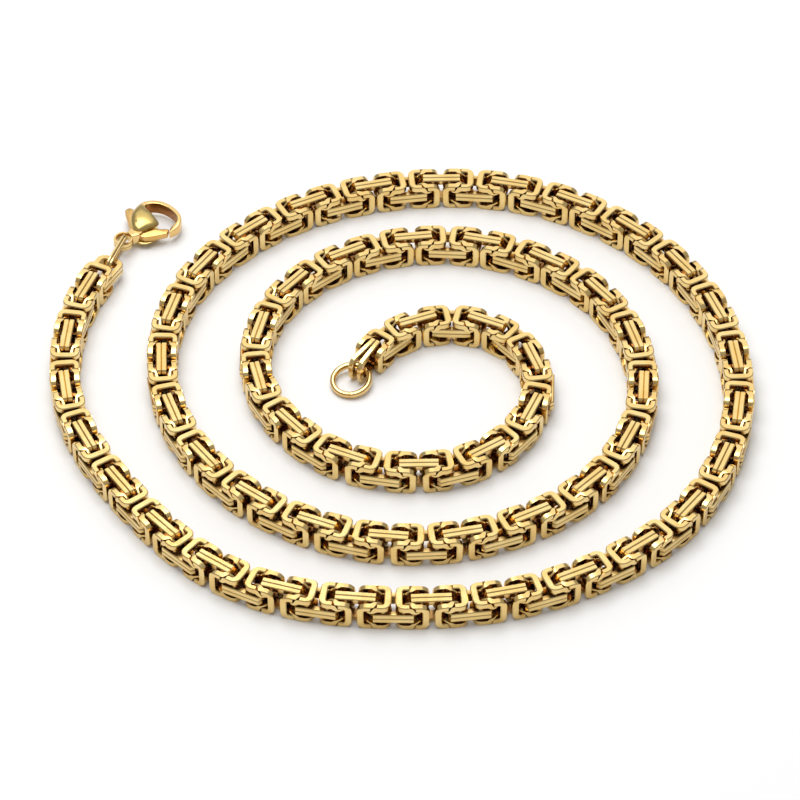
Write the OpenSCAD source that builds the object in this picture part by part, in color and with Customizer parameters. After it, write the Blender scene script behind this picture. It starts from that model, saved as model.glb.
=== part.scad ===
// Square link chain necklace, unclasped and laid flat in a spiral.
// The chain is made of link pairs, each threaded through the closed ends of two knots of four links.
// Every second pair and knot is rolled a quarter turn about the chain, which gives four like faces.

/* [Chain] */
// Width and height of the square chain
chain_w = 5; // [4.9:0.05:5.1]
// Thickness of the link wire
wire_t = 0.9; // [0.85:0.01:0.92]
// Distance from one link pair to the next along the chain
pair_step = 6.04; // [6:0.01:6.08]
// Number of link pairs between the two ends, counted from the clasp
pair_count = 114; // [100:1:114]
// Length of a link pair at its middle height, between its lobed ends
pair_len = 5.56; // [5.5:0.02:5.6]
// Outer corner radius of a knot's link
link_r = 1.2; // [0.9:0.1:1.3]
// Least gap from a knot's closed end to the middle of its link pair
end_gap = 0.31; // [0.28:0.01:0.4]

/* [Clasp] */
// Height of the clasp between its domed faces
clasp_h = 4.2; // [4:0.1:4.4]
// Outer radius of the hook
hook_r = 4.4; // [4.3:0.05:4.5]
// Width of the hook's rim
hook_rim = 0.8; // [0.7:0.05:0.9]
// Height of the hook
hook_h = 2.4; // [2.3:0.05:2.5]
// Outer radius of the eye that holds the jump ring
eye_r = 1.7; // [1.6:0.05:1.8]
// Height of the eye
eye_h = 1.6; // [1.4:0.05:1.7]
// Radius of the hole in the eye
eye_hole_r = 1.25; // [1.2:0.05:1.3]
// Thickness of the lever
lever_h = 1.2; // [1.1:0.05:1.3]
// Radius of the lever's pin
pin_r = 0.4; // [0.35:0.05:0.45]

/* [Rings] */
// Outer radius of the end ring
end_ring_r = 3.6; // [3.4:0.1:3.7]
// Width of the end ring's band
end_ring_w = 0.95; // [0.9:0.05:1]
// Height of the end ring's band
end_ring_h = 1.15; // [1:0.05:1.2]
// Thickness of the jump ring
jump_t = 0.5; // [0.45:0.01:0.52]
// Width of the jump ring's two coils together
jump_w = 1; // [0.9:0.02:1.04]
// Bend radius of the jump ring's two ends, to the middle of its wire
jump_bend_r = 1.85; // [1.8:0.05:1.9]

/* [Hidden] */
gold = [0.86, 0.68, 0.32];
gold_pale = [0.93, 0.78, 0.45];

// Route of the chain. Each row is one turn of the spiral, and each column is 30 degrees further on.
turn_step = 30;
first_angle = 120;
spiral_radius = [
    53, 58, 56, 51, 50.5, 49, 51.5, 55.5, 57, 56, 53, 48.5,
    45.5, 43, 39.5, 36.5, 35, 35.5, 37, 39.5, 41, 40.5, 37.5, 34,
    30.5, 27, 23.5, 20.5, 19.5, 19.5, 21, 22.5, 23.5, 22, 17.5, 12.5,
    9, 8];
// Place of the spiral's pole, which puts the middle of the necklace on the origin
pole = [-0.3, -0.08];
// Angle of the second link pair, from which the chain is measured out
start_angle = 157.5;
fine_step = 3;

function row(list, i) = list[max(0, min(len(list) - 1, i))];
function blend(p0, p1, p2, p3, t) =
    (2 * p1 + (p2 - p0) * t + (2 * p0 - 5 * p1 + 4 * p2 - p3) * t * t
    + (3 * p1 - p0 - 3 * p2 + p3) * t * t * t) / 2;
function radius_at(angle) =
    let (u = (angle - first_angle) / turn_step, i = floor(u))
    blend(row(spiral_radius, i - 1), row(spiral_radius, i), row(spiral_radius, i + 1),
        row(spiral_radius, i + 2), u - i);
function polar_point(angle) = pole + radius_at(angle) * [cos(angle), sin(angle)];

// Length along the route against the angle, summed in fine steps from the clasp end
sweep_from = 126;
sweep_to = 1230;
way = [for (a = sweep_from, s = 0; a <= sweep_to;
    s = s + norm(polar_point(a + fine_step) - polar_point(a)), a = a + fine_step) [s, a]];
start_way = lookup(start_angle, [for (w = way) [w[1], w[0]]]);
function route(s) = polar_point(lookup(s + start_way, way));
function pair_point(k) = route((k - 1) * pair_step);
function heading(v) = atan2(v[1], v[0]);
function bend_at(k) =
    let (a = pair_point(k) - pair_point(k - 1), b = pair_point(k + 1) - pair_point(k))
    asin(abs(a[0] * b[1] - a[1] * b[0]) / (norm(a) * norm(b)));

// Sizes of a link
half_w = chain_w / 2;
hole_w = half_w - wire_t;
pair_w = 2 * wire_t - 0.04;
groove_w = 0.08;
groove_d = 0.3;
// A link's ends are lobed, so that each lies round the next link at a quarter turn
lobe = 0.3;
lobe_z = 0.95;
lobe_chamfer = 0.4;
// Thickness along the chain of a hidden link end, which lies behind the other links' closed ends
hidden_t = 0.7;
clear = 0.12;
half_count = 57;

// One quarter of a rounded corner, as three flats
function corner(c, r, from) = [for (i = [0:3]) c + r * [cos(from + i * 30), sin(from + i * 30)]];
function round_right(x0, x1, y, r) =
    concat([[x0, -y]], corner([x1 - r, -y + r], r, 270), corner([x1 - r, y - r], r, 0), [[x0, y]]);
// Outline of a lobed link, drawn for one corner and mirrored to the other three
function lobed_corner(x, y) =
    [[x, lobe_z], [x + lobe, lobe_z + lobe], [x + lobe, y - 1.5 * lobe_chamfer], [x, y - lobe_chamfer / 3],
    [x - lobe_chamfer, y]];
function flip(points, sx, sy) =
    let (n = len(points))
    [for (i = [0:n - 1]) let (p = points[sx * sy > 0 ? i : n - 1 - i]) [sx * p[0], sy * p[1]]];
function lobed_link(x, y) =
    let (c = lobed_corner(x, y))
    concat(c, flip(c, -1, 1), flip(c, -1, -1), flip(c, 1, -1));

// Two like links side by side, seen from above as the two bars of a frame with a fine slit between
module link_pair() {
    x = pair_len / 2;
    rotate([90, 0, 0])
        difference() {
            linear_extrude(pair_w, center = true) polygon(lobed_link(x, half_w));
            cube([2 * (x - wire_t), 2 * hole_w, chain_w], center = true);
            for (side = [-1, 1])
                translate([0, side * half_w, 0]) cube([2 * chain_w, 2 * groove_d, groove_w], center = true);
        }
}

// The hidden ends of two opposite links, at x, which pass through the link pair below and above the axis
module hidden_ends(x, drop) {
    for (up = [-1, 1])
        translate([x, 0, up * (hole_w - drop - wire_t / 2)])
            cube([hidden_t, chain_w - wire_t, wire_t], center = true);
}

// Four links closed round each other. Two close at the right, above and below, and two at the left,
// at the front and the back. The bend is that of the chain at the knot's sharper end.
module link_knot(bend) {
    gap = max(end_gap, half_w * tan(bend / 2) + clear);
    drop = clear + (gap + wire_t) * sin(bend / 2);
    x = pair_step / 2 - gap;
    hidden_x = x - wire_t + hidden_t / 2;
    difference() {
        intersection() {
            linear_extrude(chain_w, center = true) polygon(round_right(-x, x, half_w, link_r));
            rotate([90, 0, 0])
                linear_extrude(chain_w, center = true)
                    mirror([1, 0]) polygon(round_right(-x, x, half_w, link_r));
        }
        translate([-wire_t, 0, 0]) cube([2 * x, 2 * hole_w, 2 * chain_w], center = true);
        translate([wire_t, 0, 0]) cube([2 * x, 2 * chain_w, 2 * hole_w], center = true);
    }
    hidden_ends(-hidden_x, drop);
    rotate([90, 0, 0]) hidden_ends(hidden_x, drop);
}

// Link pairs from first to last and the knots between them. The next knot is left to what follows.
module chain_run(first, last, last_knot) {
    for (k = [first:last])
        translate([pair_point(k)[0], pair_point(k)[1], half_w])
            rotate([0, 0, heading(pair_point(k + 0.5) - pair_point(k - 0.5))])
                rotate([k % 2 == 0 ? 90 : 0, 0, 0]) link_pair();
    for (k = [first:last_knot])
        let (from = pair_point(k), to = pair_point(k + 1))
        translate([(from[0] + to[0]) / 2, (from[1] + to[1]) / 2, half_w])
            rotate([0, 0, heading(to - from)])
                rotate([k % 2 == 0 ? 90 : 0, 0, 0]) link_knot(max(bend_at(k), bend_at(k + 1)));
}

module chain_outer() {
    color(gold) chain_run(0, half_count - 1, half_count - 1);
}

module chain_inner() {
    color(gold) chain_run(half_count, pair_count - 1, pair_count - 2);
}

// Clasp, with its eye on its own origin and the hook towards +X
clasp_at = [-48, 35.9];
clasp_turn = 38;
hook_at = [7, 0.5];
dome_at = [4.9, 1.8];
dome_ball_r = 7.5;
pin_at = [3.9, 1];
hook_z = clasp_h / 2 - hook_h / 2;
lever_z = clasp_h / 2 - lever_h / 2;
slot_h = lever_h + 0.24;
gate_reach = 5.5;
tip_gap = 0.12;
shell = [
    [0, -1.4], [2, -1.2], [3.2, -1.7], [4.9, -1.7], [6.5, -1.2], [7.1, 0], [7.3, 1.5], [7.4, 3.2],
    [7.6, 4.9], [6.1, 4.9], [4.7, 4.1], [3.6, 2.9], [2.8, 1.6], [1.6, 1], [0, 1.4]];
root = [[5.5, 2.3], [7.3, 1.7], [8.2, 3.6], [8.2, 4.3], [7.6, 4.9], [6.1, 4.9], [5.75, 4.6]];

module at_clasp() {
    translate([clasp_at[0] + pole[0], clasp_at[1] + pole[1], 0]) rotate([0, 0, clasp_turn]) children();
}

// Two domed shells with a slot between them for the lever
module clasp_shells() {
    difference() {
        intersection() {
            linear_extrude(clasp_h) polygon(shell);
            translate([dome_at[0], dome_at[1], clasp_h - dome_ball_r]) sphere(dome_ball_r, $fn = 96);
            translate([dome_at[0], dome_at[1], dome_ball_r]) sphere(dome_ball_r, $fn = 96);
        }
        translate([0, 0, clasp_h / 2 - slot_h / 2])
            linear_extrude(slot_h)
                difference() {
                    polygon(shell);
                    circle(eye_r + 0.1, $fn = 48);
                    polygon(root);
                }
    }
}

// Open hook, cut off at its tip along the sweep of the lever's gate
module hook() {
    tip_angle = -90;
    root_angle = 105;
    difference() {
        translate([hook_at[0], hook_at[1], hook_z])
            rotate([0, 0, tip_angle])
                rotate_extrude(angle = root_angle - tip_angle, $fn = 96)
                    translate([hook_r - hook_rim, 0]) square([hook_rim, hook_h]);
        translate([pin_at[0], pin_at[1] - gate_reach, -1])
            intersection() {
                translate([0, gate_reach, 0]) cylinder(clasp_h + 2, r = gate_reach + tip_gap, $fn = 96);
                translate([0, -gate_reach, 0]) cube([2 * gate_reach, 2 * gate_reach, clasp_h + 2]);
            }
    }
}

module clasp_body() {
    color(gold_pale) at_clasp() difference() {
        union() {
            clasp_shells();
            translate([0, 0, (clasp_h - eye_h) / 2]) cylinder(eye_h, r = eye_r, $fn = 48);
            translate([0, 0, hook_z]) linear_extrude(hook_h) polygon(root);
            hook();
        }
        translate([0, 0, -1]) cylinder(clasp_h + 2, r = eye_hole_r, $fn = 48);
        translate([pin_at[0], pin_at[1], -1]) cylinder(clasp_h + 2, r = pin_r, $fn = 32);
    }
}

// Rocking lever: the gate closes the hook, and the thumb tab stands out at the back
module clasp_lever() {
    gate = [[2.7, 0.6], [2.7, -1.2], [3.3, -2], [4.8, -2.75], [6.1, -3.2], [8.4, -3.8], [9, -2.7], [7.1, -1.75],
        [6.3, -1.3], [5.1, 0.6]];
    tab = [[4.8, 1], [4.6, 3], [5.4, 4.8], [5.45, 5.4], [5, 5.8], [4.3, 5.6], [3.3, 3.6], [2.1, 1.3], [3, 0.6]];
    color(gold_pale) at_clasp() translate([0, 0, lever_z])
        difference() {
            linear_extrude(lever_h)
                intersection() {
                    union() {
                        translate(pin_at) circle(1.3, $fn = 48);
                        polygon(gate);
                        polygon(tab);
                    }
                    translate(pin_at) circle(gate_reach, $fn = 96);
                }
            translate([pin_at[0], pin_at[1], -1]) cylinder(lever_h + 2, r = pin_r + 0.08, $fn = 32);
        }
}

module clasp_pin() {
    color(gold_pale) at_clasp() translate([pin_at[0], pin_at[1], 0.08]) cylinder(clasp_h - 0.16, r = pin_r, $fn = 32);
}

// Oval ring of two coils, leaning, through the eye of the clasp and the first link pair
jump_lean = 20;
jump_z = 2.35;
// How far the ring's ends reach past the middle of the eye, and towards the middle of the pair
jump_past_eye = 0.45;
jump_short_of_pair = 0.6;

module jump_section() {
    t = jump_t / 2;
    w = jump_w / 2;
    bevel = 0.1;
    polygon([[-t, -w], [t - bevel, -w], [t, bevel - w], [t, -bevel], [t - bevel, 0],
        [t, bevel], [t, w - bevel], [t - bevel, w], [-t, w]]);
}

module jump_ring() {
    first = pair_point(0);
    chain_dir = (pair_point(0.5) - first) / norm(pair_point(0.5) - first);
    eye = clasp_at + pole;
    reach = first - jump_short_of_pair * chain_dir - eye;
    straight = norm(reach) + jump_past_eye - 2 * jump_bend_r;
    color(gold_pale) translate([eye[0], eye[1], jump_z])
        rotate([0, 0, heading(reach)]) rotate([90 - jump_lean, 0, 0])
            translate([jump_bend_r - jump_past_eye, 0, 0]) {
                for (side = [0, 1])
                    mirror([0, side, 0]) translate([0, jump_bend_r, 0])
                        rotate([90, 0, 90]) linear_extrude(straight) jump_section();
                for (side = [0, 1])
                    translate([side * straight, 0, 0]) rotate([0, 0, 90 - 180 * side])
                        rotate_extrude(angle = 180, $fn = 64) translate([jump_bend_r, 0]) jump_section();
            }
}

// Flat ring at the far end. It rests on the floor and on the last link pair, so it leans a little.
ring_lean = 10;
// From the middle of the last link pair to the inside of the ring
ring_reach = 1.2;

module end_ring() {
    last = pair_point(pair_count - 1);
    turn = heading(last - pair_point(pair_count - 2));
    inner_r = end_ring_r - end_ring_w;
    color(gold_pale) translate([last[0], last[1], 0]) rotate([0, 0, turn])
        translate([ring_reach + inner_r, 0, 0.64]) rotate([0, ring_lean, 0])
            difference() {
                cylinder(end_ring_h, r = end_ring_r, $fn = 96);
                translate([0, 0, -1]) cylinder(end_ring_h + 2, r = inner_r, $fn = 96);
            }
}

chain_outer();
chain_inner();
clasp_body();
clasp_lever();
clasp_pin();
jump_ring();
end_ring();
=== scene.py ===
import math

import bpy
import numpy as np
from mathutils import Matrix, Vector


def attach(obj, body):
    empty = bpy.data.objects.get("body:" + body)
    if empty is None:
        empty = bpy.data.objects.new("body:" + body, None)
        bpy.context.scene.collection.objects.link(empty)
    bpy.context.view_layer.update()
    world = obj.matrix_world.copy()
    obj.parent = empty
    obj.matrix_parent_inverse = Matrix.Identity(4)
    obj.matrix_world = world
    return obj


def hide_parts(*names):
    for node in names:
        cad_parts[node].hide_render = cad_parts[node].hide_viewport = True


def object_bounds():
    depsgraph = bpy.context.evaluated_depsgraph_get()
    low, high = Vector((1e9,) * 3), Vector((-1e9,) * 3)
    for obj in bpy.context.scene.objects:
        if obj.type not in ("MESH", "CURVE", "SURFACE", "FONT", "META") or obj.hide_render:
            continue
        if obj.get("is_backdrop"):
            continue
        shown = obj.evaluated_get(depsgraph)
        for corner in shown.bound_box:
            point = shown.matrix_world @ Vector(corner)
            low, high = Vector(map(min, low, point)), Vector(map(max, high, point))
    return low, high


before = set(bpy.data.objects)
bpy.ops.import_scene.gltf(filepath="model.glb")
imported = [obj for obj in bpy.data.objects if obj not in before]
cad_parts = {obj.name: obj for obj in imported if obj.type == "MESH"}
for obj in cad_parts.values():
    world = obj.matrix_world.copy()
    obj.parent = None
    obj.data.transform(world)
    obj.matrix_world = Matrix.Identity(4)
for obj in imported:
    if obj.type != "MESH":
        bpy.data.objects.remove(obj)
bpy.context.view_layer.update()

# The square chain: flat-faced gold wire bent into closed links, threaded through each other and soldered.
# Pairs of lobed links hold knots of four links. Every knot is rolled a quarter turn from the next, so all
# four faces of the chain look alike. It is made in two halves that meet in the middle of the necklace.
MM = 0.001  # all sizes but the lights' and the table's are in millimetres
WIDTH = 5.0  # side of the chain's square section
WIRE = 0.93  # thickness of a link's wire
PAIR_WIRE = 0.88  # the same for a pair's link, from its neighbour's side outwards
PAIR_GAP = 0.04  # between the two links of a pair
BEVEL, LEG_BEVEL = 0.13, 0.14  # along the outer edges of a pair's link, and of a knot's
WIDER = 0.2  # what a knot link's closed end has on top, over the wire's thickness
CORNER = 0.84  # radius of a knot link's closed corners, at the middle of the wire
HALF = WIDTH / 2 - WIRE / 2  # from the middle of the chain to the middle of a wire in its face
END_GAP, LEAST_GAP = 0.31, 0.08  # by which a closed end stops short of the middle of the next pair
PAIR_STEP = 6.04  # from pair to pair, along the route
PAIRS = 114
HALVES = (("outer", 0, 56, 56), ("inner", 57, 113, 112))  # name, first pair and knot, last pair, last knot
LOOSE, TWIST = [0.03, 0.004, 0.004], 0.006  # spread of the links along, across and up, and of a pair's turn
SPLAY, HELD_AT = 0.06, -3  # the last pair's links open by this much a millimetre, from x = HELD_AT on
FREE_SHADE = 0.3  # share of the painted recess shade at a free end
CHAIN_SHARP = 33  # edges over this angle in degrees are sharp

# The route of the chain on the floor: radii in millimetres, every 30 degrees from 120 on, one row a turn.
RADII = np.array([
    53, 58, 56, 51, 50.5, 49, 51.5, 55.5, 57, 56, 53, 48.5,
    45.5, 43, 39.5, 36.5, 35, 35.5, 37, 39.5, 41, 40.5, 37.5, 34,
    30.5, 27, 23.5, 20.5, 19.5, 19.5, 21, 22.5, 23.5, 22, 17.5, 12.5,
    9, 8])
POLE = np.array([-0.3, -0.08])
START_ANGLE = 157.5


def cubic(p0, p1, p2, p3, t):
    """Catmull-Rom cubic from p1 to p2 as t goes from 0 to 1, with p0 before them and p3 after."""
    return (2 * p1 + (p2 - p0) * t + (2 * p0 - 5 * p1 + 4 * p2 - p3) * t ** 2
            + (3 * p1 - p0 - 3 * p2 + p3) * t ** 3) / 2


def route_at(angle):
    """Point of the route at an angle in degrees: the pole + r (cos, sin), with r by cubics through the radii."""
    u = (np.asarray(angle, float) - 120) / 30
    i = np.floor(u).astype(int)
    t = u - i
    r = cubic(*(RADII[np.clip(i + j, 0, len(RADII) - 1)] for j in (-1, 0, 1, 2)), t)
    a = np.radians(angle)
    return POLE + r[..., None] * np.stack([np.cos(a), np.sin(a)], -1)


# The length of the route at every third degree, counted from the second pair on.
fine = np.arange(126, 1231, 3)
way = np.r_[0, np.cumsum(np.linalg.norm(np.diff(route_at(fine), axis=0), axis=1))]
way -= np.interp(START_ANGLE, fine, way)


def pair_point(k):
    """Middle of link pair k: the route at the length (k - 1) PAIR_STEP from the second pair."""
    return route_at(np.interp((np.asarray(k, float) - 1) * PAIR_STEP, way, fine))


def in_scene(mesh, sharp):
    """Object of a mesh in the scene, shaded smooth but for edges over the angle sharp, in degrees."""
    mesh.validate()
    mesh.shade_smooth()
    mesh.set_sharp_from_angle(angle=math.radians(sharp))
    made = bpy.data.objects.new(mesh.name, mesh)
    bpy.context.scene.collection.objects.link(made)
    return made


def surface(name, points, sharp, capped=False):
    """Mesh of points[piece, along, round, xyz]: each quad joins neighbours along and round. Both directions are
    closed, or with capped the first and last ring of each piece are each filled with one flat face. A fourth
    column of the points is kept as the attribute depth."""
    i = np.arange(points[..., 0].size).reshape(points.shape[:3])
    ahead = np.roll(i, -1, 1)
    quads = np.stack([i, np.roll(i, -1, 2), np.roll(ahead, -1, 2), ahead], -1)
    quads = quads[:, :-1] if capped else quads
    ends = np.concatenate([i[:, 0, ::-1], i[:, -1]]) if capped else i[:0, 0]
    corners = np.r_[quads.ravel(), ends.ravel()].astype(np.int32)
    starts = np.r_[np.arange(0, quads.size, 4), quads.size + np.arange(len(ends)) * i.shape[2]].astype(np.int32)
    mesh = bpy.data.meshes.new(name)
    mesh.vertices.add(i.size)
    mesh.vertices.foreach_set("co", (points[..., :3] * MM).astype(np.float32).ravel())
    mesh.loops.add(corners.size)
    mesh.loops.foreach_set("vertex_index", corners)
    mesh.polygons.add(starts.size)
    mesh.polygons.foreach_set("loop_start", starts)
    if points.shape[-1] == 4:
        depth = mesh.attributes.new("depth", "FLOAT", "POINT")
        depth.data.foreach_set("value", points[..., 3].astype(np.float32).ravel())
    mesh.update(calc_edges=True)
    return in_scene(mesh, sharp)


def sweep(path, up, across, high):
    """Wire along closed paths[piece, along, xyz]: point = path + across side + high top, where side is the
    tangent x up, and top is side x the tangent. At a bend, the part of this offset along the inward normal
    of the bend is lengthened by 1 / cos(half the turn), so the wire keeps its thickness."""
    ahead = np.roll(path, -1, 1) - path
    back = path - np.roll(path, 1, 1)
    ahead /= np.linalg.norm(ahead, axis=-1, keepdims=True)
    back /= np.linalg.norm(back, axis=-1, keepdims=True)
    half_turn = np.linalg.norm(ahead + back, axis=-1, keepdims=True) / 2
    tangent = (ahead + back) / (2 * half_turn)
    inward = ahead - back
    inward /= np.maximum(np.linalg.norm(inward, axis=-1, keepdims=True), 1e-6)
    side = np.cross(tangent, np.broadcast_to(up, tangent.shape))
    side /= np.linalg.norm(side, axis=-1, keepdims=True)
    top = np.cross(side, tangent)
    offset = side[..., None, :] * across[..., None] + top[..., None, :] * high[..., None]
    lean = (offset * inward[..., None, :]).sum(-1, keepdims=True)
    return path[..., None, :] + offset + lean * (1 / half_turn[..., None, :] - 1) * inward[..., None, :]


# Sections of a knot link's leg. Rows are points (inwards from the chain's side face, down from its top). Beyond
# the crossing the leg runs below the link that crosses it. At the crossing their joint is slanted, and after it
# comes the wire's whole section. CROSS_X is where they stand, from the crossing on.
CROSS_X = np.array([-0.55, 0, 0.55])
BEYOND = np.array([[0.9, 1.45], [0.9, 1.3], [0.7, 1.25], [0.2, 1.05], [0.05, 1.15], [0.05, 1.45]])
CROSSING = np.array([[0.85, 1.35], [0.75, 1], [0.55, 0.7], [0.05, 0.25], [0, 0.1], [0, 1.3]])
WHOLE = np.array([
    [WIRE, WIRE], [WIRE, LEG_BEVEL], [WIRE - LEG_BEVEL, 0], [LEG_BEVEL, 0], [0, LEG_BEVEL], [0, WIRE]])
# The hidden end lies across the chain, inside the pair. Rows are (x from the pair's middle, inwards, down).
HIDDEN = np.array([[1.76, 1.59, 1.9], [1.76, 1.59, 1.33], [1.6, 1.46, 1.2], [1.26, 1.18, 1.2],
                   [1.1, 1.05, 1.33], [1.1, 1.05, 1.9]])


def knot_link(reach, half):
    """Links of knots, one for each reach and half. Sections go from the hidden end, inside the link pair at
    x = 0, past the crossing at x = half to the closed end at x = reach, and back as their mirror image. At the
    corner x = reach - r + (r + out) cos t and y = r - HALF + (r + out) sin t, where r is CORNER, t goes from
    -90 degrees to 0, and out is a point's place across the wire. The closed end is wider on top than below."""
    t = np.radians([-90, -60, -30, 0])[:, None]
    out = WIRE / 2 - WHOLE[:, 0] - WIDER * np.cos(t) * (WHOLE[:, 0] - WHOLE[:, 1] > WIRE / 2)
    x = np.concatenate([
        np.broadcast_to(HIDDEN[:, 0], (len(reach), 1, 6)),
        np.broadcast_to(half[:, None, None] + CROSS_X[:, None], (len(reach), 3, 6)),
        reach[:, None, None] - CORNER + (CORNER + out) * np.cos(t)], 1)
    leg = np.stack([HIDDEN[:, 1], BEYOND[:, 0], CROSSING[:, 0], WHOLE[:, 0]]) - WIDTH / 2
    y = np.concatenate([leg, CORNER - HALF + (CORNER + out) * np.sin(t)])
    z = WIDTH / 2 - np.stack([HIDDEN[:, 2], BEYOND[:, 1], CROSSING[:, 1]] + [WHOLE[:, 1]] * 5)
    near = np.stack([x, np.broadcast_to(y, x.shape), np.broadcast_to(z, x.shape)], -1)
    return np.concatenate([near, near[:, ::-1] * [1, -1, 1]], 1)


# The right upper quarter of a pair's link, as points (x, z) of the middle of its wire. An end that holds
# knots is waisted, and a free end is round.
WAISTED = np.array([[2.33, 1.1], [3.0, 1.55], [3.12, 1.8], [2.97, HALF]])
ROUND = np.array([[3.05, 0.55], [2.95, 1.2], [2.65, 1.75], [2.2, HALF]])


def loop_path(right, left):
    """Middle of the wire of a pair's link, standing in the XZ plane: both tables and their mirror images."""
    x = np.r_[right[:, 0], -left[::-1, 0], -left[:, 0], right[::-1, 0]]
    z = np.r_[right[:, 1], left[::-1, 1], -left[:, 1], -right[::-1, 1]]
    return np.stack([x, 0 * x, z], -1)


# The links lie a little off their places. Those of one knot or pair move together. Knot k lies between pair k
# and the next, along chord k, and bend k is the turn of the route at pair k in radians.
rng = np.random.default_rng(7)
knot_shift = rng.normal(0, LOOSE, (PAIRS, 1, 1, 3))
pair_shift = rng.normal(0, LOOSE, (PAIRS, 1, 1, 3))
pair_twist = rng.normal(0, TWIST, PAIRS)
middle = pair_point(np.arange(PAIRS))
chord = middle[1:] - middle[:-1]
length = np.linalg.norm(chord, axis=1)
chord_turn = np.arctan2(chord[:, 1], chord[:, 0])
onward = pair_point(np.arange(PAIRS) + 0.5) - pair_point(np.arange(PAIRS) - 0.5)
pair_turn = np.arctan2(onward[:, 1], onward[:, 0])
bend = np.abs(np.angle(np.exp(1j * np.diff(chord_turn))))
bend = np.r_[bend[0], bend, bend[-1]]


def turned(points, angle):
    """Points[piece, ..., xyz] turned about Z by each piece's angle."""
    c, s = (f(angle).reshape((-1,) + (1,) * (points.ndim - 2)) for f in (np.cos, np.sin))
    x, y, z = points[..., 0], points[..., 1], points[..., 2]
    return np.stack([x * c - y * s, x * s + y * c, z], -1)


def rolled(points, quarter):
    """Points turned about X by a number of quarter turns: each takes (y, z) to (-z, y)."""
    for _ in range(quarter):
        points = np.stack([points[..., 0], -points[..., 2], points[..., 1]], -1)
    return points


def laid(points, numbers, angle, hidden=1):
    """Links set down on the route: turned about Z, moved to the middle of their pair, and none below the floor.
    The fourth column is a point's depth below the nearest face of the square chain, times hidden."""
    depth = hidden * (WIDTH / 2 - np.abs(points[..., 1:]).max(-1, keepdims=True))
    points = turned(points, angle)
    points[..., :2] += middle[numbers][:, None, None]
    points[..., 2] += WIDTH / 2
    points[..., 2] -= np.minimum(points[..., 2].min((1, 2)), 0)[:, None, None]
    return np.concatenate([points, depth], -1)


def knot_links(numbers, quarter):
    """One link of each of the given knots, all odd or all even, at one of four quarter turns round the chain.
    Those that close at the left are the same link turned end for end. Where the route bends, upright links on
    the inside close a little earlier."""
    from_right = quarter % 2 != numbers[0] % 2
    half_bend = bend[numbers + from_right] / 2
    gap = np.full(len(numbers), END_GAP)
    if quarter % 2:
        inside = 1 if quarter == 3 else -1
        gap = np.maximum(gap, LEAST_GAP + inside * WIDTH / 2 * np.tan(half_bend))
    points = knot_link(length[numbers] - gap - WIRE / 2, length[numbers] / 2)
    if not from_right:
        points = points * [-1, -1, 1] + length[numbers][:, None, None, None] * [1, 0, 0]
    return laid(rolled(points, quarter) + knot_shift[numbers], numbers, chord_turn[numbers])


def pair_links(numbers, side):
    """One link of each of the given pairs, all odd or all even, on one side (-1 or 1) of the other. The first
    and last pair have a free end, which gets less painted shade, and the last pair's links open towards theirs."""
    is_first, is_last = numbers == 0, numbers == PAIRS - 1
    path = np.repeat(loop_path(WAISTED, WAISTED)[None], len(numbers), 0)
    path[is_first] = loop_path(WAISTED, ROUND)
    path[is_last] = loop_path(ROUND, WAISTED)
    across = PAIR_WIRE / 2 * np.array([-1, -1, -1, 1, 1, 1]) + BEVEL * np.array([0, 0, 1, -1, 0, 0])
    high = WIRE / 2 * np.array([-1, 1, 1, 1, 1, -1]) - BEVEL * np.array([0, 1, 0, 0, 1, 0])
    points = sweep(path, path, across, high)
    points[..., 1] += side * (PAIR_WIRE + PAIR_GAP) / 2
    points[is_last, ..., 1] += side * SPLAY * (points[is_last, ..., 0] - HELD_AT)
    points = turned(points, pair_twist[numbers])
    points = rolled(points, 1 - numbers[0] % 2) + pair_shift[numbers]
    free = (points[..., :1] < 0) & is_first[:, None, None, None]
    free |= (points[..., :1] > 0) & is_last[:, None, None, None]
    return laid(points, numbers, pair_turn[numbers], np.where(free, FREE_SHADE, 1))


# Painted shade in the chain's recesses: the deeper a point lies below the chain's faces, the more its gold is
# mixed towards this brown.
PAINTED_SHADE = (0.26, 0.1, 0.025, 1)
UNSHADED_TO, FULL_SHADE_FROM = 0.2, 1.25  # depths below the chain's faces where the painted shade begins, and where it is full


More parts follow.
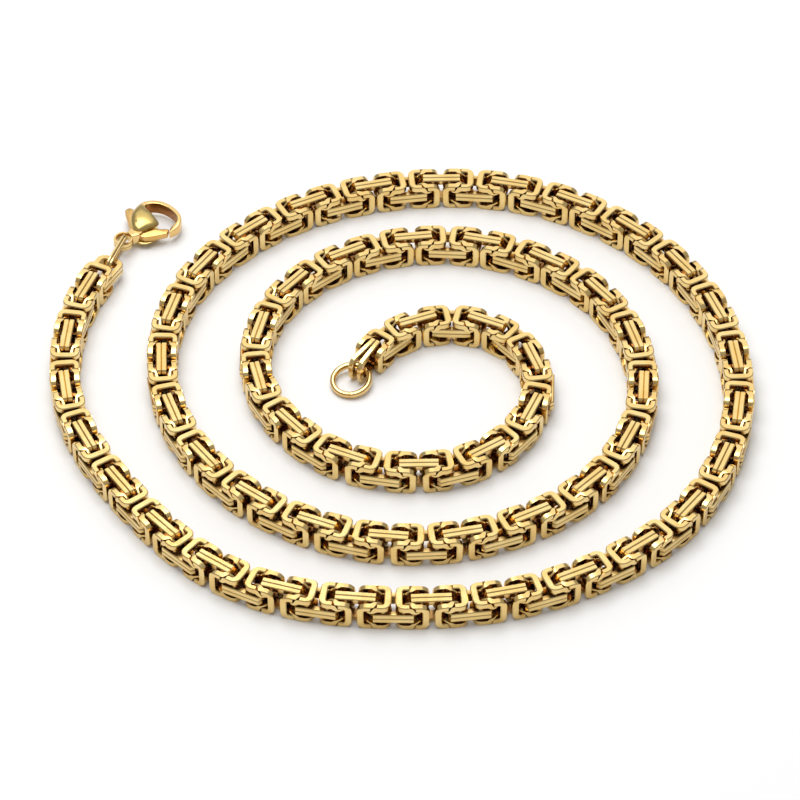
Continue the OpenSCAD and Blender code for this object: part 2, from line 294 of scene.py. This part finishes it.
def gold(name, deep, pale, rough, grain, paint_recess_shade=False):
    """Polished gold: metal between a deeper and a paler tone, with uneven polishing marks and a fine grain.
    If its last argument is set, it turns brown with the attribute depth: painted shade in the chain's recesses."""
    mat = bpy.data.materials.new(name)
    mat.use_nodes = True
    nodes, wires = mat.node_tree.nodes, mat.node_tree.links
    shader = nodes["Principled BSDF"]
    shader.inputs["Metallic"].default_value = 1.0
    place = nodes.new("ShaderNodeTexCoord")
    cloud = nodes.new("ShaderNodeTexNoise")
    cloud.inputs["Scale"].default_value = grain / 5
    wires.new(place.outputs["Object"], cloud.inputs["Vector"])
    tone = nodes.new("ShaderNodeValToRGB")
    tone.color_ramp.elements[0].position = 0.35
    tone.color_ramp.elements[0].color = (*deep, 1)
    tone.color_ramp.elements[1].position = 0.65
    tone.color_ramp.elements[1].color = (*pale, 1)
    wires.new(cloud.outputs["Fac"], tone.inputs["Fac"])
    wires.new(tone.outputs["Color"], shader.inputs["Base Color"])
    # Painted shade: the colour turns brown with depth, where the recesses are in shade.
    if paint_recess_shade:
        depth = nodes.new("ShaderNodeAttribute")
        depth.attribute_name = "depth"
        reach = nodes.new("ShaderNodeMapRange")
        reach.inputs["From Min"].default_value = UNSHADED_TO
        reach.inputs["From Max"].default_value = FULL_SHADE_FROM
        wires.new(depth.outputs["Fac"], reach.inputs["Value"])
        brown = nodes.new("ShaderNodeMix")
        brown.data_type = "RGBA"
        brown.inputs[7].default_value = PAINTED_SHADE
        wires.new(reach.outputs["Result"], brown.inputs[0])
        wires.new(tone.outputs["Color"], brown.inputs[6])
        wires.new(brown.outputs[2], shader.inputs["Base Color"])
    noise = nodes.new("ShaderNodeTexNoise")
    noise.inputs["Scale"].default_value = grain
    noise.inputs["Detail"].default_value = 3
    wires.new(place.outputs["Object"], noise.inputs["Vector"])
    level = nodes.new("ShaderNodeMapRange")
    level.inputs["To Min"].default_value = rough * 0.6
    level.inputs["To Max"].default_value = rough * 1.4
    wires.new(noise.outputs["Fac"], level.inputs["Value"])
    wires.new(level.outputs["Result"], shader.inputs["Roughness"])
    bump = nodes.new("ShaderNodeBump")
    bump.inputs["Strength"].default_value = 0.3
    bump.inputs["Distance"].default_value = 0.02 * MM
    wires.new(noise.outputs["Fac"], bump.inputs["Height"])
    wires.new(bump.outputs["Normal"], shader.inputs["Normal"])
    return mat


def finish(piece, node, body, mat):
    """Give a finished piece its metal, and its place in the frame."""
    piece.data.materials.append(mat)
    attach(piece, body)
    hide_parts(node)


chain_gold = gold("chain_gold_metal", (0.8, 0.55, 0.2), (0.87, 0.65, 0.28), 0.2, 1500, True)
for label, first, last_pair, last_knot in HALVES:
    pairs, knots = np.arange(first, last_pair + 1), np.arange(first, last_knot + 1)
    loops = surface("pairs_" + label, np.concatenate(
        [pair_links(pairs[pairs % 2 == odd], side) for odd in (0, 1) for side in (-1, 1)]), CHAIN_SHARP)
    links = surface("knots_" + label, np.concatenate(
        [knot_links(knots[knots % 2 == odd], quarter) for odd in (0, 1) for quarter in range(4)]), CHAIN_SHARP)
    for piece in (loops, links):
        finish(piece, "chain_" + label, "necklace", chain_gold)

# The end ring: a flat ring of pale polished gold, cut from tube and rounded, with a soldered joint in front.
# It runs through the last link pair, and rests on the floor and on that pair, so it leans a little.
RING_R, RING_W, RING_H, RING_RIM = 3.6, 0.95, 1.15, 0.4  # outer radius, wall, height, rounding of its edges
RING_LEAN, RING_REACH, RING_Z = 10, 1.2, 0.64  # degrees; beyond the last pair's middle; underside's height
JOINT_AT, JOINT_SHARE = -95, 0.9  # degrees on the floor; the joint's section as a share of the ring's


def rounded(across, high, radius, steps):
    """Round a rectangle, across by high, with rounded corners: its points (a, b) from the middle, clockwise from
    the inner bottom corner, with steps of them at each corner."""
    angle = np.radians(270 - 90 * np.arange(4)[:, None] - np.linspace(0, 90, steps)).ravel()
    corner_a, corner_b = np.repeat([[-1, -1, 1, 1], [-1, 1, 1, -1]], steps, 1)
    a = corner_a * (np.asarray(across)[..., None] / 2 - radius) + radius * np.cos(angle)
    b = corner_b * (np.asarray(high)[..., None] / 2 - radius) + radius * np.sin(angle)
    return a, b


def revolved(angle, radius, z):
    """A ring round the Z axis from profiles[along, round]: point = (radius cos angle, radius sin angle, z)."""
    angle = angle[:, None]
    return np.stack([radius * np.cos(angle), radius * np.sin(angle), z + 0 * radius], -1)[None]


def tilted(points, lean):
    """Points turned about Y by an angle in degrees, the +X side going down."""
    c, s = math.cos(math.radians(lean)), math.sin(math.radians(lean))
    x, y, z = points[..., 0], points[..., 1], points[..., 2]
    return np.stack([x * c + z * s, y, z * c - x * s], -1)


ring_turn = chord_turn[-1]
joint = math.radians(JOINT_AT) - ring_turn
angle = joint + np.radians(np.r_[-1.6, -0.5, 0.5, 1.6, np.linspace(6, 354, 72)])
share = np.where(np.abs(angle - joint) < np.radians(1), JOINT_SHARE, 1)
across, high = rounded(RING_W * share, RING_H * share, RING_RIM, 5)
points = tilted(revolved(angle, RING_R - RING_W / 2 + across, RING_H / 2 + high), RING_LEAN)
points = turned(points + [RING_REACH + RING_R - RING_W, 0, RING_Z], np.array([ring_turn])) + [*middle[-1], 0]
findings_gold = gold("findings_gold_metal", (0.76, 0.5, 0.19), (0.83, 0.6, 0.26), 0.17, 900)
end_ring = surface("end_ring_band", points, 33)
finish(end_ring, "end_ring", "necklace", findings_gold)

# The jump ring: two turns of gold wire with rounded edges, wound into an oval, soldered shut and polished. It
# leans in the eye of the clasp, and the first link pair hangs on it.
CLASP_AT, CLASP_TURN, CLASP_H = np.array([-48, 35.9]) + POLE, 38, 4.2  # the eye's middle, degrees, height
COIL_T, COIL_W, COIL_RIM, COIL_STEP = 0.5, 0.49, 0.17, 0.51  # the wire's size, its rounding, turn to turn
COIL_R, COIL_Z, COIL_LEAN = 1.85, 2.35, 20  # the ends' radius, the middle's height, degrees from upright
PAST_EYE, SHORT_OF_PAIR = 0.45, 0.6  # past the eye's middle, and short of the first pair's

first_way = pair_point(0.5) - middle[0]
reach = middle[0] - SHORT_OF_PAIR * first_way / np.linalg.norm(first_way) - CLASP_AT
straight = np.linalg.norm(reach) + PAST_EYE - 2 * COIL_R
q = np.radians(np.linspace(-90, 90, 17))
x = np.r_[straight + COIL_R * np.cos(q), -COIL_R * np.cos(q)] + COIL_R - PAST_EYE
y = np.r_[COIL_R * np.sin(q), -COIL_R * np.sin(q)]
path = np.stack([np.stack([x, y, 0 * x + up], -1) for up in (-COIL_STEP / 2, COIL_STEP / 2)])
points = sweep(path, [0.0, 0.0, 1.0], *rounded(COIL_T, COIL_W, COIL_RIM, 3))
c, s = math.cos(math.radians(90 - COIL_LEAN)), math.sin(math.radians(90 - COIL_LEAN))
x, y, z = points[..., 0], points[..., 1], points[..., 2]
points = np.stack([x, y * c - z * s, y * s + z * c], -1)
points = turned(points, np.full(2, math.atan2(reach[1], reach[0]))) + [*CLASP_AT, COIL_Z]
coils = surface("jump_ring_coils", points, 40)
finish(coils, "jump_ring", "necklace", findings_gold)

# The clasp body: one polished casting of two domed shells, a hook, a neck and an eye, with a slot for the lever.
# In its own frame the eye is on the origin and the hook towards +X. The domes are blunt teardrops, and their
# edges are rows of (x, y). The hook's and the neck's rows are (x, y) of the outer edge, then of the inner one.
SLOT_LOW, SLOT_HIGH = 1.38, 2.82
DOME_AT = np.array([5.1, 1.7])
UPPER_RISE, LOWER_RISE, SHELL_WALL = 1.4, 1.3, 0.25
DOME_EDGE = np.array([
    [6.9, -1.0], [7.15, 0.3], [7.3, 1.7], [7.4, 3.1], [7.5, 4.3], [7.3, 4.95], [6.2, 4.75], [4.85, 4.05],
    [3.75, 3.0], [2.95, 1.9], [2.55, 0.8], [2.75, -0.3], [3.6, -0.8], [4.8, -1.05], [6, -1.25]])
BASE_EDGE = np.array([
    [6.7, -1.4], [7.15, 0.3], [7.3, 1.7], [7.4, 3.1], [7.5, 4.3], [7.3, 4.95], [6.2, 4.75], [4.85, 4.05],
    [3.75, 3.0], [2.95, 1.9], [2.2, 0.9], [2.05, -0.8], [2.8, -2.0], [4.0, -2.55], [5.4, -2.45]])
HOOK_EDGES = np.array([
    [7.16, -3.72, 7.85, -3.04], [8, -3.72, 8.3, -2.8], [9, -3.6, 8.9, -2.66], [9.95, -3.2, 9.55, -2.5],
    [10.92, -2.1, 10.3, -1.68], [11.28, -0.5, 10.53, -0.42], [11.18, 1.25, 10.45, 1.1],
    [10.6, 2.95, 9.95, 2.55], [9.65, 4.15, 9.15, 3.55], [8.5, 4.85, 8.25, 4.1], [7.4, 5.05, 7.4, 3.95],
    [6.3, 4.75, 6.8, 3.2], [5.6, 4.2, 6.3, 2.3]])
TIP_SHARE, DARK_WALL_SHARE = 0.35, 0.8  # shares of the hook's length: thinner towards its tip, inner wall darker brown
TIP_LOW, TIP_HIGH, HOOK_LOW, HOOK_HIGH, HOOK_RIM = 1.35, 2.85, 0.9, 3.3, 0.13
NECK_EDGES = np.array([
    [1.38, -0.8, 1.38, 0.75], [2.0, -0.98, 2.0, 0.95], [2.6, -1.15, 2.6, 1.2], [3.4, -1.0, 3.4, 1.2]])
NECK_LOW, NECK_HIGH, NECK_RIM = 1.12, 3.08, 0.15
# The eye's section. Rows are (radius, height from its middle). A groove in the outer wall parts it in two rings.
EYE_SECTION = np.array([
    [1.25, -0.66], [1.25, 0.66], [1.33, 0.8], [1.6, 0.8], [1.7, 0.66], [1.7, 0.12], [1.6, 0.03], [1.6, -0.03],
    [1.7, -0.12], [1.7, -0.66], [1.6, -0.8], [1.33, -0.8]])


def smooth(controls, per, closed):
    """Catmull-Rom curve through the rows of controls, with the same number of points for each stretch."""
    n = len(controls)
    count = n if closed else n - 1
    u = np.arange(count * per + (not closed)) / per
    i = np.minimum(np.floor(u).astype(int), count - 1)
    t = (u - i)[:, None]
    return cubic(*(controls[(i + j) % n if closed else np.clip(i + j, 0, n - 1)] for j in (-1, 0, 1, 2)), t)


def at_clasp(points):
    """Points of the clasp's own frame set in place."""
    return turned(points, np.full(len(points), math.radians(CLASP_TURN))) + [*CLASP_AT, 0]


def band(edges, low, high, radius):
    """Upright band between two edges, given as rows (outer x, y, inner x, y), with the outer edge on the right
    when going along it. Point = middle + a out + b Z, with (a, b) round a rectangle with rounded corners."""
    outer, inner = edges[:, :2], edges[:, 2:]
    out = outer - inner
    width = np.linalg.norm(out, axis=1)
    low, high = np.broadcast_to(low, width.shape), np.broadcast_to(high, width.shape)
    out = out / width[:, None]
    a, b = rounded(width, high - low, radius, 4)
    plan = ((outer + inner) / 2)[:, None] + a[..., None] * out[:, None]
    return np.concatenate([plan, ((high + low)[:, None] / 2 + b)[..., None]], -1)[None]


def shell(controls, rise):
    """A domed shell over a smooth closed edge, flat below. Rows go from the flat side round the rim to the top:
    (x, y) = DOME_AT + u q and z = wall + (rise - wall) (1 - u^2.2)^0.55, where wall is SHELL_WALL, and q goes
    from the edge to a circle as u falls to 0."""
    q = smooth(controls, 6, True) - DOME_AT
    size = np.linalg.norm(q, axis=1, keepdims=True)
    u = np.r_[0.9, 0.975, 1, np.sin(np.radians(np.linspace(80, 2, 20)))][:, None, None]
    share = u ** 1.5
    plan = DOME_AT + u * q * (share + (1 - share) * size.mean() / size)
    z = np.r_[0, 0, 0.15, SHELL_WALL + (rise - SHELL_WALL) * (1 - u[3:, 0, 0] ** 2.2) ** 0.55]
    return np.concatenate([plan, np.broadcast_to(z[:, None, None], (len(u), len(q), 1))], -1)


upper = shell(DOME_EDGE, UPPER_RISE) + [0, 0, SLOT_HIGH]
lower = shell(BASE_EDGE, LOWER_RISE)[::-1] * [1, 1, -1] + [0, 0, SLOT_LOW]
shells = surface("clasp_shells", at_clasp(np.stack([upper, lower])), 60, capped=True)

hook_edge = smooth(HOOK_EDGES, 5, False)
along = np.linspace(0, 1, len(hook_edge))
hook_low = np.interp(along, [0, TIP_SHARE], [TIP_LOW, HOOK_LOW])
hook_high = np.interp(along, [0, TIP_SHARE], [TIP_HIGH, HOOK_HIGH])
hook = surface("clasp_hook", at_clasp(band(hook_edge, hook_low, hook_high, HOOK_RIM)), 40, capped=True)
neck_edge = smooth(NECK_EDGES, 4, False)
neck = surface("clasp_neck", at_clasp(band(neck_edge, NECK_LOW, NECK_HIGH, NECK_RIM)), 40, capped=True)
eye_angle = np.radians(np.arange(0, 360, 6))
eye_ring = revolved(eye_angle, np.tile(EYE_SECTION[:, 0], (60, 1)), CLASP_H / 2 + EYE_SECTION[:, 1])
eye = surface("clasp_eye", at_clasp(eye_ring), 40)
satin_gold = gold("satin_gold_metal", (0.6, 0.44, 0.15), (0.71, 0.55, 0.23), 0.28, 700)
# A darker brown gold, used on the hook's inner wall.
darker_wall_gold = gold("darker_wall_gold_metal", (0.3, 0.11, 0.025), (0.42, 0.18, 0.05), 0.3, 1200)
for piece, metal in ((shells, satin_gold), (hook, findings_gold), (neck, findings_gold), (eye, findings_gold)):
    finish(piece, "clasp_body", "necklace", metal)

# The inner wall of the hook is a darker brown gold, up to near its root. In each ring of 16 faces it is the one
# between the two inner corners. The last two faces of the hook are its ends.
hook.data.materials.append(darker_wall_gold)
metal_of = np.zeros((len(hook_edge) - 1, 16), np.int32)
metal_of[:round(DARK_WALL_SHARE * len(metal_of)), 3] = 1
hook.data.polygons.foreach_set("material_index", np.r_[metal_of.ravel(), 0, 0].astype(np.int32))

# The pin: a short gold rod through both shells and the lever, which turns on it. It is riveted at both ends
# and polished flush with the domes.
PIN_AT = np.array([3.9, 1.0])
# The pin's section. Rows are (radius, z).
PIN_SECTION = np.array([[0.2, 0.1], [0.34, 0.14], [0.4, 0.2], [0.4, 4.0], [0.34, 4.06], [0.2, 4.1]])
around = np.radians(np.arange(0, 360, 15))
circle = np.stack([np.cos(around), np.sin(around)], -1)
rings = [np.c_[PIN_AT + radius * circle, np.full(len(circle), z)] for radius, z in PIN_SECTION]
pin = surface("clasp_rivet", at_clasp(np.stack(rings)[None]), 40, capped=True)
finish(pin, "clasp_pin", "necklace", findings_gold)

# The lever: a flat gold casting that rocks on the pin between the shells, pressed shut by a hidden spring. Its
# gate closes the hook, and its thumb tab stands out at the back. The edge's rows are (x, y), in the clasp's
# frame, and the two flat sides have rounded rims.
LEVER_EDGE = np.array([
    [2.62, 0.4], [2.7, -1.1], [3.25, -1.95], [4.1, -2.42], [5, -2.82], [6.1, -3.22],
    [6.75, -3.46], [7.02, -3.42], [7.42, -3.08], [7.66, -2.84], [7.05, -2.25], [6.35, -1.75],
    [5.65, -0.8], [5.25, 0.3], [5.02, 1.6], [4.9, 2.7], [5.2, 3.8], [5.65, 4.65],
    [5.72, 5.3], [5.25, 5.85], [4.4, 5.7], [3.85, 4.6], [3.2, 3.1], [2.6, 1.8]])
LEVER_LOW, LEVER_HIGH, HOLE_R = 1.5, 2.7, 0.48
RIM = np.array([[0.14, 0], [0.04, 0.04], [0, 0.14]])  # (inset from the edge, height from the flat side)
lever_edge = smooth(LEVER_EDGE, 4, True)
onward = np.roll(lever_edge, -1, 0) - np.roll(lever_edge, 1, 0)
inward = np.stack([-onward[:, 1], onward[:, 0]], -1) / np.linalg.norm(onward, axis=1, keepdims=True)
n = len(lever_edge)
rows = [(inset, LEVER_LOW + z) for inset, z in RIM] + [(inset, LEVER_HIGH - z) for inset, z in RIM[::-1]]
rings = [np.c_[lever_edge + inset * inward, np.full(n, z)] for inset, z in rows]
rings += [np.c_[PIN_AT + HOLE_R * circle, np.full(len(circle), z)] for z in (LEVER_LOW, LEVER_HIGH)]
points = np.concatenate(rings)
i = np.arange(6 * n).reshape(6, n)
hole = 6 * n + np.arange(2 * len(circle)).reshape(2, -1)
faces = np.stack([i[:-1], np.roll(i[:-1], -1, 1), np.roll(i[1:], -1, 1), i[1:]], -1).reshape(-1, 4).tolist()
faces += np.stack([hole[0], hole[1], np.roll(hole[1], -1), np.roll(hole[0], -1)], -1).tolist()
# Each flat side is two faces. They meet on the two lines from the hole to the edge's points left and right.
left, right = n - 4, 13 * 4
for row, loop, way_round in ((5, 1, 1), (0, 0, -1)):
    one = [*i[row, right:left + 1], *hole[loop, 12::-1]]
    other = [*i[row, left:], *i[row, :right + 1], hole[loop, 0], *hole[loop, :11:-1]]
    faces += [one[::way_round], other[::way_round]]
mesh = bpy.data.meshes.new("clasp_rocker")
mesh.from_pydata((at_clasp(points[None])[0] * MM).tolist(), [], faces)
lever = in_scene(mesh, 40)
lever_gold = gold("lever_gold_metal", (0.66, 0.39, 0.12), (0.75, 0.48, 0.18), 0.3, 900)
finish(lever, "clasp_lever", "lever", lever_gold)

# The setting: a white table in plain soft studio light, with one large light overhead and one behind.
# Only the necklace is the part. The camera looks down at it from the front, at the photo's angle.
LIGHTS = (  # name, place and size in metres, power in watts
    ("overhead", (-0.1, 0.1, 0.75), 0.6, 4.6),
    ("behind", (0.0, 0.5, 0.5), 0.55, 0.75))
CAMERA_AT, CAMERA_DOWN = (0.16 + POLE[0], -468.5 + POLE[1], 483.6), 45.94  # its tilt is in degrees
bpy.ops.mesh.primitive_plane_add(size=3)
table = bpy.context.object
table.name = "table"
white = bpy.data.materials.new("white_table")
white.use_nodes = True
white.node_tree.nodes["Principled BSDF"].inputs["Base Color"].default_value = (0.92, 0.92, 0.92, 1)
white.node_tree.nodes["Principled BSDF"].inputs["Roughness"].default_value = 0.7
table.data.materials.append(white)
table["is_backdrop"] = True

world = bpy.data.worlds.new("studio")
bpy.context.scene.world = world
world.use_nodes = True
world.node_tree.nodes["Background"].inputs["Color"].default_value = (1, 1, 1, 1)
world.node_tree.nodes["Background"].inputs["Strength"].default_value = 0.4
for name, place, size, power in LIGHTS:
    light = bpy.data.lights.new(name, "AREA")
    light.size = size
    light.energy = power
    lamp = bpy.data.objects.new(name, light)
    bpy.context.scene.collection.objects.link(lamp)
    lamp.location = place
    away = math.atan2(math.hypot(place[0], place[1]), place[2])
    lamp.rotation_euler = (away, 0, math.atan2(place[1], place[0]) + math.pi / 2)
bpy.context.scene.view_settings.view_transform = "Standard"

camera = bpy.data.cameras.new("camera")
camera.lens = 180
camera.sensor_width = 36
camera.clip_start, camera.clip_end = 0.05, 10
eye_point = bpy.data.objects.new("camera", camera)
bpy.context.scene.collection.objects.link(eye_point)
eye_point.location = [at * MM for at in CAMERA_AT]
eye_point.rotation_euler = (math.radians(90 - CAMERA_DOWN), 0, 0)
bpy.context.scene.camera = eye_point

low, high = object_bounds()
